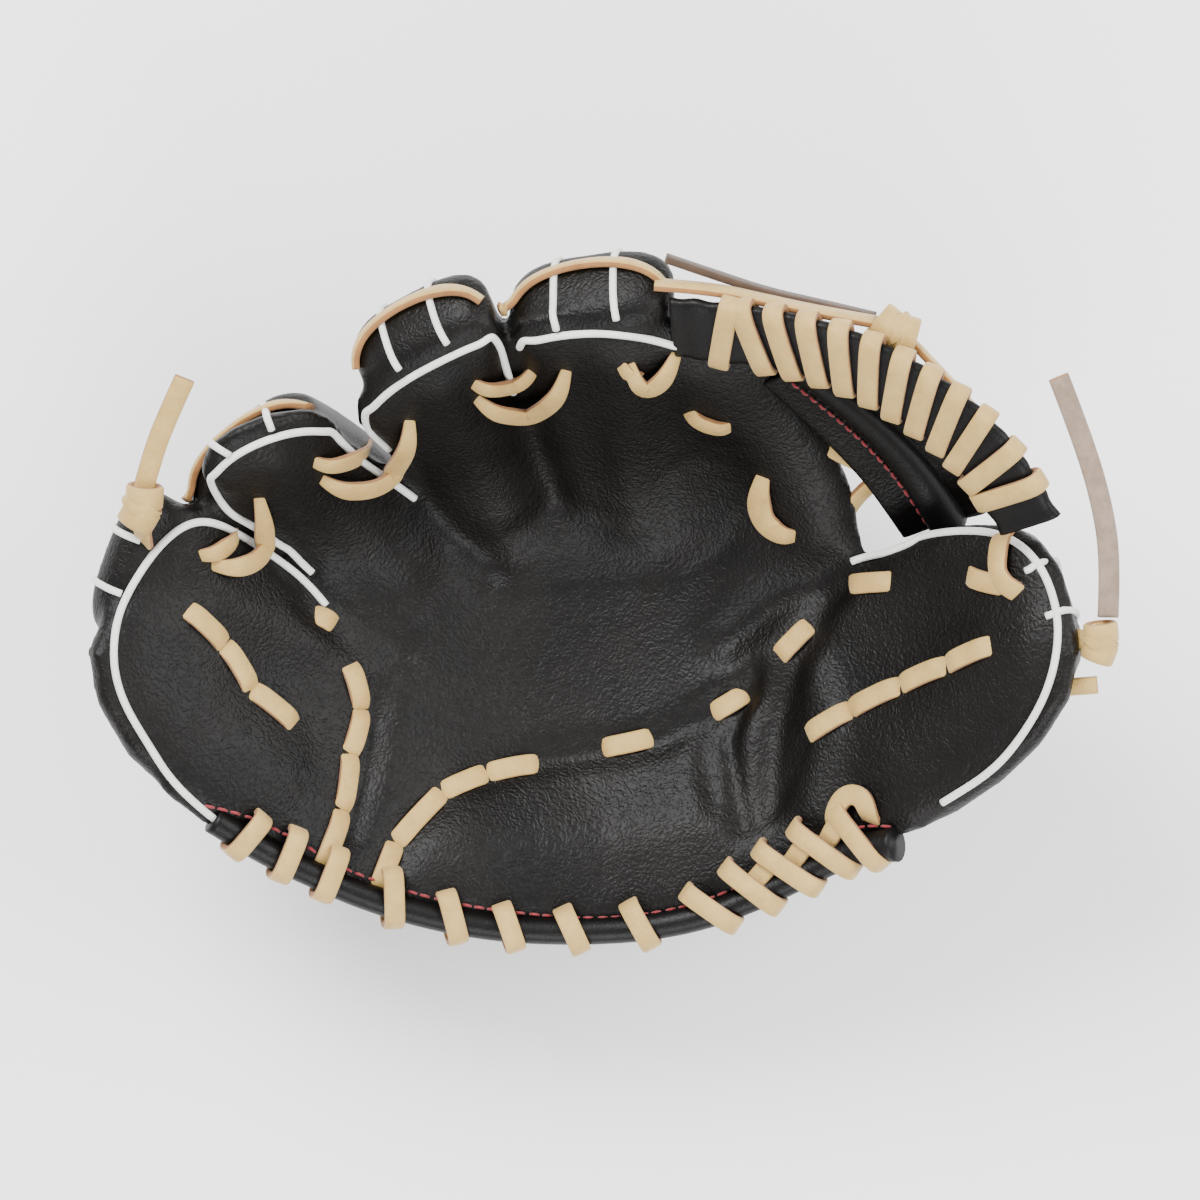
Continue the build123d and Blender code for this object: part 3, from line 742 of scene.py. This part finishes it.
def tip_arch(stall):
    """Lace that arches over the back edge of a fingertip."""
    middle, across, normal, along, size = stall_frame(stall, 1.0)
    route = []
    for u in TIP_ARCH:
        v = 0.45 - 0.95 * math.sqrt(max(0.0, 1 - (u / 1.05) ** 2))
        out = 8.0 - 3.0 * u * u
        route.append(middle + across * u * (size[0] / 2) + normal * v * size[1] / 2 + along * out)
    line = smoothed([near_skin(p, 1.0)[0] for p in soft_line(route, per_mm=1.0)], passes=4)
    ups = smoothed(np.array([near_skin(p)[1] for p in line]) * (1, 1, 0.15), passes=6)
    return swept(line, ups, lace_section(TIP_LACE_WIDTH), LACE_CUTS)


lace_piece("lace_fingertips", [tip_arch(stall) for stall in ("index", "middle", "ring")],
           ["fingertip_lacing"], "palm")


# ---- Heel: rolled binding, wraps and red stitching ----

HEEL = [(-97, -58.5), (-87, -65), (-78, -69.8), (-54, -81), (-24, -88.2), (8, -88.8), (29, -85.6),
        (45, -79.6), (60, -72.2), (72, -66), (82, -65)]
ROLL_RADIUS = 3.7
STITCH_RADIUS = 0.42
heel_line = soft_line([tuple(on_face(x, y, 4.0)) for x, y in HEEL], per_mm=0.7)
roll_scale = 1 + 0.3 * np.clip(np.linspace(-6, 1, len(heel_line)), 0, 1) ** 2
roll = piece("heel_roll", *swept(heel_line, [(0, 0, 1)] * len(heel_line), circle(ROLL_RADIUS, 16),
                                 scale=roll_scale)[:2], [SMOOTH])
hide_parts("heel_binding", "thumb_binding")
bends_with_thumb(roll)


def loop_over(centre, along, inward, across, high, lean):
    """Ring of lace round a rolled edge or a bar; lean is how far it goes along from side to side."""
    up = np.cross(along, inward)
    if up[2] < 0:
        up = -up
    ring = []
    for i in range(28):
        turn = 2 * math.pi * i / 28
        c, w = math.cos(turn), math.sin(turn)
        a = abs(c) ** 0.5 * math.copysign(across / 2, c)
        b = abs(w) ** 0.6 * math.copysign(high / 2, w)
        ring.append(centre + inward * a + up * b + along * lean * (a / across))
    outward = np.array(ring) - np.array(centre)
    return swept(ring, outward, lace_section(), LACE_CUTS, closed=True)


def heel_wraps(places, leans, reaches):
    """Wraps over the heel roll: where along x, how far each leans, and how far in it goes."""
    parts = []
    for x, lean, reach in zip(places, leans, reaches):
        i = int(np.argmin(np.abs(heel_line[:, 0] - x)))
        along = heel_line[min(i + 2, len(heel_line) - 1)] - heel_line[max(i - 2, 0)]
        along = along / np.linalg.norm(along)
        inward = np.cross((0, 0, 1), along)
        inward /= np.linalg.norm(inward)
        centre = heel_line[i] + inward * (reach / 2 - ROLL_RADIUS - 1.4)
        parts.append(loop_over(centre, along, inward, reach, 2 * (ROLL_RADIUS + 1.0), lean))
    return parts


lace_piece("lace_heel", heel_wraps([-91, -80, -69.5, -52.5, -35.5, -20.5, -3, 15.5],
                                    [2, -1, -1, -5, -6, -5, -5, -5], [13, 14, 14, 14, 12, 11, 11, 12]),
           ["heel_lacing"], "palm")
NET_STEPS = [[(42, -80.5), (48, -76), (53, -69)], [(54, -74.5), (59, -69.5), (62.5, -62.5)],
             [(64.5, -68), (68, -64), (70.5, -57.5)],
             [(67.5, -63), (69, -55), (74, -52), (78, -55.5), (77, -61)]]
lace_piece("lace_heel_thumb",
           heel_wraps([35.5, 46.5, 57.5, 66.5, 76], [-10, -9, -10, -10, -9], [13, 16, 17, 18, 18])
           + [lace_on_skin(route, lift=2.6, dip=5.0) for route in NET_STEPS],
           ["thumb_heel_lacing"], "fold")


def seam(name, route, lift=0.35, length=2.6, gap=1.1):
    """Row of red stitches lying on the leather, over the crease of the thumb."""
    flat = soft_line([(x, y, 0) for x, y in route], per_mm=2.0)
    count = int(len(flat) / 2.0 / (length + gap))
    parts = []
    for i in range(count):
        a = int(i * (length + gap) * 2)
        b = min(a + int(length * 2), len(flat) - 1)
        if b <= a:
            continue
        ends = [on_skin(*flat[k][:2], lift=lift) for k in (a, (a + b) // 2, b)]
        line = [point + facing * rise for (point, facing), rise in zip(ends, (-0.5, 0.25, -0.5))]
        parts.append(swept(line, [facing for _, facing in ends], circle(STITCH_RADIUS, 6)))
    points, faces, _ = merged(parts)
    obj = piece(name, points, faces, [THREAD])
    bends_with_thumb(obj)


seam("stitching_heel", [(-101, -55.5), (-92, -57.5), (-84.5, -61), (-76, -65.5), (-66, -72.2), (-51, -78),
                        (-35, -82.3), (-20, -84.8), (4, -87), (26.5, -84), (42, -78), (58, -70),
                        (70, -63), (77, -60.5), (85, -61.5)])


# ---- Web: crossbar, wraps, post, ties ----

BAR_LINE = [(24, 71.5, 111.5), (45, 69.5, 117), (71, 63, 120.5), (91, 51.5, 119.5), (107, 38, 116.5),
            (118.2, 19.5, 110.5)]
BAR_WIDTH, BAR_THICK = 20.0, 4.0
BAR_WRAPS = 12
bar_line = soft_line(BAR_LINE, per_mm=1.0)


def bar_across(fraction):
    """Direction of the bar's width, which turns from one end to the other."""
    lean = np.array([0.1 + 0.45 * fraction, 0.7 - 0.25 * fraction, 0.7])
    return lean / np.linalg.norm(lean)


def bar_frame(fraction):
    i = int(round(fraction * (len(bar_line) - 1)))
    along = bar_line[min(i + 2, len(bar_line) - 1)] - bar_line[max(i - 2, 0)]
    along /= np.linalg.norm(along)
    across = bar_across(fraction)
    across = across - along * np.dot(across, along)
    across /= np.linalg.norm(across)
    return bar_line[i], along, across


def rounded_section(width, thick, corner, steps=24, crown=0.0):
    """Section with round corners, square as corner nears 0; crown lifts its middle."""
    section = []
    for i in range(steps):
        turn = 2 * math.pi * i / steps
        c, w = math.cos(turn), math.sin(turn)
        a = abs(c) ** corner * math.copysign(width / 2, c)
        b = abs(w) ** 0.8 * math.copysign(thick / 2, w)
        section.append((a, b + crown * (1 - (2 * a / width) ** 2)))
    return section


fractions = np.linspace(0, 1, len(bar_line))
bar_ups = [np.cross(bar_across(f), bar_frame(f)[1]) for f in fractions]
bar_ups = [u if u[2] > 0 else -u for u in bar_ups]
bar_swell = [1 + 0.035 * math.cos(2 * math.pi * (f - 0.13) / 0.8 * 11) for f in fractions]
bar_section = rounded_section(BAR_WIDTH, BAR_THICK, 0.35)
bar = piece("web_crossbar", *swept(bar_line, bar_ups, bar_section, scale=bar_swell)[:2], [SMOOTH])
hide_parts("web_bar")
bends_with_thumb(bar)

wraps = []
for i in range(BAR_WRAPS):
    centre, along, across = bar_frame(0.12 + 0.78 * i / (BAR_WRAPS - 1))
    lean = {0: 4.0, 10: -4.0, 11: 1.0}.get(i, -7.0)
    wraps.append(loop_over(centre, along, across, BAR_WIDTH + 1.6, BAR_THICK + 2.2, lean))
lace_piece("web_crossbar_lace", wraps, ["web_bar_lacing"], "fold")

POST_LINE = [(57, 60, 106), (70, 51, 94), (82, 40.5, 82), (91, 30, 71), (97.5, 20, 63)]
POST_ACROSS = [(0.95, -0.1, 0.1), (0.9, 0.15, 0.15), (0.85, 0.3, 0.3), (0.8, 0.35, 0.4), (0.8, 0.35, 0.45)]
POST_WIDTH, POST_THICK, POST_CROWN = 25.0, 3.0, -1.5
RIDGE_WIDTH, RIDGE_HEIGHT = 9.5, 9.0
THREAD_OFFSET = 4.0
post_line = soft_line(POST_LINE, per_mm=0.8)
post_across = soft_line(POST_ACROSS, per_mm=400.0)
picks = np.linspace(0, len(post_across) - 1, len(post_line)).astype(int)
post_along = np.gradient(post_line, axis=0)
post_ups = np.cross(post_across[picks], post_along)
post_ups *= np.sign(post_ups[:, 2:3])
post_section = rounded_section(POST_WIDTH, POST_THICK, 0.35, 32, POST_CROWN)
post = piece("web_post_panel", *swept(post_line, post_ups, post_section)[:2], [SHELL])
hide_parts("web_post")
bends_with_thumb(post)
post_unit = post_ups / np.linalg.norm(post_ups, axis=1, keepdims=True)
post_side = np.cross(post_along / np.linalg.norm(post_along, axis=1, keepdims=True), post_unit)
ridge_scale = np.linspace(0.55, 1.15, len(post_line))
ridge_line = post_line - post_side * 1.5 + post_unit * 0.6
ridge_section = rounded_section(RIDGE_WIDTH, RIDGE_HEIGHT, 0.9, 20)
ridge = piece("web_post_ridge", *swept(ridge_line, post_ups, ridge_section, scale=ridge_scale)[:2], [SMOOTH])
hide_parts("web_ridge")
bends_with_thumb(ridge)

threads = []
thread_line = post_line + post_side * THREAD_OFFSET + post_unit * 1.2
for k in range(2, len(thread_line) - 4, 3):
    arch = post_unit[k:k + 3] * np.array([[-0.3], [0.2], [-0.3]])
    threads.append(swept(thread_line[k:k + 3] + arch, post_ups[k:k + 3], circle(STITCH_RADIUS, 6)))
points, faces, _ = merged(threads)
post_thread = piece("web_post_stitching", points, faces, [THREAD])
bends_with_thumb(post_thread)


def free_strip(route, facing, width=LACE_WIDTH):
    """Lace through the air, with its face one way all along."""
    line = soft_line(route, per_mm=1.0)
    return swept(line, [facing] * len(line), lace_section(width), LACE_CUTS)


TIE_HIGH = [(54, 53, 82), (60, 46, 79), (67, 39.5, 77), (76, 36, 75)]
TIE_LOW = [(66, 14, 61), (70, 22, 65), (76, 30, 68.5), (86, 37, 73)]
lace_piece("web_ties", [free_strip(TIE_HIGH, (-0.3, 0.2, 1)), free_strip(TIE_LOW, (0.6, -0.5, 0.7))],
           ["web_tie_lacing"], "fold")


# ---- Back: wrist strap, its lining and the palm lining ----

STRAP_LOW = [(-80, -62), (-64.5, -70), (-45, -76), (-20, -80), (10, -80), (42, -73), (62, -62), (78, -52)]
STRAP_HIGH = [(78, -30), (56, -40), (40, -48), (14, -51), (-22, -51), (-62, -41), (-82, -34)]


def thin_leaf(thick, lift):
    """Surfaces of a thin layer on the back of the glove, rounded at its edge."""
    def surfaces(x, y, d):
        z = back_z(x, y) + lift
        swell = round_off(d / 3.0)
        high = z + thick * (0.35 + 0.65 * swell)
        low = z + thick * 0.3 * (1 - swell)
        return np.stack([x, y, high], 1), np.stack([x, y, low], 1)
    return surfaces


def liner_leaf(x, y, d):
    """Lining under the catching face, over the palm of the hand."""
    return on_face(x, y, 9.0), on_face(x, y, 10.0 + 3.2 * round_off(d / 5))


def leaf_piece(name, outline, surfaces, material, replaced, body):
    points, faces = leaf(outline, surfaces)
    obj = piece(name, points, faces, [material])
    bm = bmesh.new()
    bm.from_mesh(obj.data)
    bmesh.ops.delete(bm, geom=[v for v in bm.verts if not v.link_faces], context="VERTS")
    bm.to_mesh(obj.data)
    bm.free()
    relax(obj.data, passes=2)
    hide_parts(*replaced)
    carried(obj, body)


leaf_piece("wrist_strap_leather", STRAP_LOW + STRAP_HIGH, thin_leaf(3.0, 0.1), SMOOTH,
           ["wrist_strap", "strap_lacing"], "fold")
LINING_OUTLINE = [(-58, -67), (-20, -76), (10, -76), (38, -70), (41, -52), (14, -55), (-22, -55), (-58, -46)]
leaf_piece("wrist_strap_lining", LINING_OUTLINE, thin_leaf(4.0, 3.0), FLEECE,
           ["strap_lining"], "palm")
PALM_LINING = [(-60, -70), (-22, -80), (8, -80.5), (27, -77.5), (44, -71), (60, -10), (52, 20), (28, 30),
               (0, 26), (-28, 16), (-50, -4), (-60, -30)]
leaf_piece("palm_lining", PALM_LINING, liner_leaf, LINING,
           ["palm_liner", "palm_felt"], "palm")


# ---- Knots and loose lace ends ----

def knot(centre, axis, size=1.0):
    """Overhand knot: three short turns of lace crossing each other."""
    axis = np.asarray(axis, float) / np.linalg.norm(axis)
    side = np.cross(axis, (0, 0, 1.0))
    side /= np.linalg.norm(side)
    up = np.cross(side, axis)
    parts = []
    for spin, slide, tilt in ((0.0, -2.2, 0.5), (1.2, 2.0, -0.4), (2.3, 0.0, 1.2)):
        turn_axis = axis * math.cos(tilt * 0.5) + side * math.sin(tilt * 0.5)
        a = np.cross(turn_axis, up)
        a /= np.linalg.norm(a)
        b = np.cross(turn_axis, a)
        radius = 3.1 * size
        middle = np.asarray(centre) + axis * slide * size
        ring = np.array([middle + a * radius * math.cos(t) + b * radius * 0.85 * math.sin(t)
                         for t in np.linspace(0, 2 * math.pi, 18)[:-1] + spin])
        parts.append(swept(ring, ring - middle, lace_section(4.6 * size, 1.8), LACE_CUTS, closed=True))
    return parts


PINKY_STUB = [near_skin((-115, 14, 92), -2.0)[0], (-117, 17, 95), (-117.5, 22, 98)]
lace_piece("knot_pinky",
           knot((-117, 24.5, 99), (0.3, 1, 0.3), 1.35) + [free_strip(PINKY_STUB, (-0.6, -0.3, 1))],
           ["pinky_knot"], "palm")
THUMB_STUBS = [free_strip([(124, -24, 97), (130, -23.5, 99), (136.5, -23, 100)], (0, -0.2, 1), 4.6),
               free_strip([(126, -10, 98), (132, -11, 102), (138, -12, 104)], (0.4, 0, 1))]
lace_piece("knot_thumb", knot((137, -11.5, 104), (0.1, 1, 0.2), 1.2) + THUMB_STUBS, ["thumb_knot"], "thumb")
WEB_STUB = [(85, 69, 119), (94, 60, 118), (104, 49, 115)]
lace_piece("knot_web", knot((82.5, 70.5, 121), (1, -0.5, 0), 1.35) + [free_strip(WEB_STUB, (0.6, 0.8, 0.2))],
           ["web_knot"], "fold")


def tail(name, route, facing, node, body, material=SUEDE, edge=LACE_EDGE):
    """Free end of a lace. Its route is the one that the frame holds."""
    line = soft_line(route, per_mm=1.0)
    points, faces, marks = swept(line, [facing] * len(line), lace_section(), LACE_CUTS)
    obj = piece(name, points, faces, [material, edge], marks)
    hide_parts(node)
    carried(obj, body)


PINKY_TAIL = [(-117, 27, 100), (-114, 37.5, 103.8), (-110, 47.5, 107.5), (-105, 58, 110.3)]
THUMB_TAIL = [(139, -5, 105), (139.6, 10, 107.5), (136.8, 26, 112), (131.2, 43, 117.5), (125, 58, 122.5)]
WEB_LONG = [(77, 74, 116.5), (62.5, 77.5, 115), (49, 80.5, 114.5), (35.5, 85, 114.7), (22, 89.5, 116)]
WEB_SHORT = [(77, 72.5, 122), (63, 75, 120.3), (49, 78, 120), (34, 81.5, 119), (19, 82.5, 118)]
tail("tail_pinky", PINKY_TAIL, (0.2, -0.2, 1), "pinky_lace_tail", "palm", material=LACE)
tail("tail_thumb", THUMB_TAIL, (0.1, -0.2, 1), "thumb_lace_tail", "thumb")
# The long web tail gets the darkened lace copy on its face and edges as painted shade.
tail("tail_web_long", WEB_LONG, (0.2, 1, 0.25), "web_lace_tail_long", "fold", LACE_PAINTED_SHADE, LACE_PAINTED_SHADE)
tail("tail_web_short", WEB_SHORT, (0.2, 1, 0.45), "web_lace_tail_short", "fold", LACE)


# ---- The shell stands for the leather, felt and stalls of both bodies ----

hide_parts("palm_leather", "index_stall", "middle_stall", "ring_stall", "pinky_stall",
            "pinky_heel_pad", "pinky_back", "back_panel", "thumb_leather", "thumb_stall", "thumb_heel_pad",
            "thumb_back", "finger_felts", "thumb_felt", "pinky_stay", "thumb_stay", "pinky_loop",
            "thumb_loop")
bends_with_thumb(shell)


# ---- Floor, light and camera ----

def stage_floor(reach=8.0):
    mesh = bpy.data.meshes.new("floor")
    corners = [(-reach, -reach, 0), (reach, -reach, 0), (reach, reach, 0), (-reach, reach, 0)]
    mesh.from_pydata(corners, [], [(0, 1, 2, 3)])
    floor = bpy.data.objects.new("floor", mesh)
    bpy.context.scene.collection.objects.link(floor)
    material, tree, shader = nodes_of("floor_paper")
    shader.inputs["Base Color"].default_value = (0.93, 0.93, 0.93, 1)
    shader.inputs["Roughness"].default_value = 0.9
    mesh.materials.append(material)


def area_light(name, place_at, aim, size, power):
    light = bpy.data.lights.new(name, "AREA")
    light.shape, light.size, light.energy = "DISK", size, power
    holder = bpy.data.objects.new(name, light)
    holder.location = place_at
    holder.rotation_euler = (Vector(aim) - Vector(place_at)).to_track_quat("-Z", "Y").to_euler()
    bpy.context.scene.collection.objects.link(holder)


stage_floor()
GLOVE_MIDDLE = (0, 0, 0.06)
area_light("key", (-0.7, 1.0, 1.4), GLOVE_MIDDLE, 1.0, 64)
area_light("fill", (1.2, 0.3, 1.1), GLOVE_MIDDLE, 1.2, 30)
area_light("heel_side", (0.1, -1.3, 1.0), GLOVE_MIDDLE, 0.9, 24)
world = bpy.data.worlds.new("studio")
bpy.context.scene.world = world
world.use_nodes = True
world.node_tree.nodes["Background"].inputs["Color"].default_value = (1, 1, 1, 1)
world.node_tree.nodes["Background"].inputs["Strength"].default_value = 1.1

camera_data = bpy.data.cameras.new("camera")
camera_data.lens, camera_data.sensor_width = 250.0, 36.0
camera_data.clip_end = 20.0
camera = bpy.data.objects.new("camera", camera_data)
camera.location = (0.0046, -0.0005, 2.31)
bpy.context.scene.collection.objects.link(camera)
bpy.context.scene.camera = camera
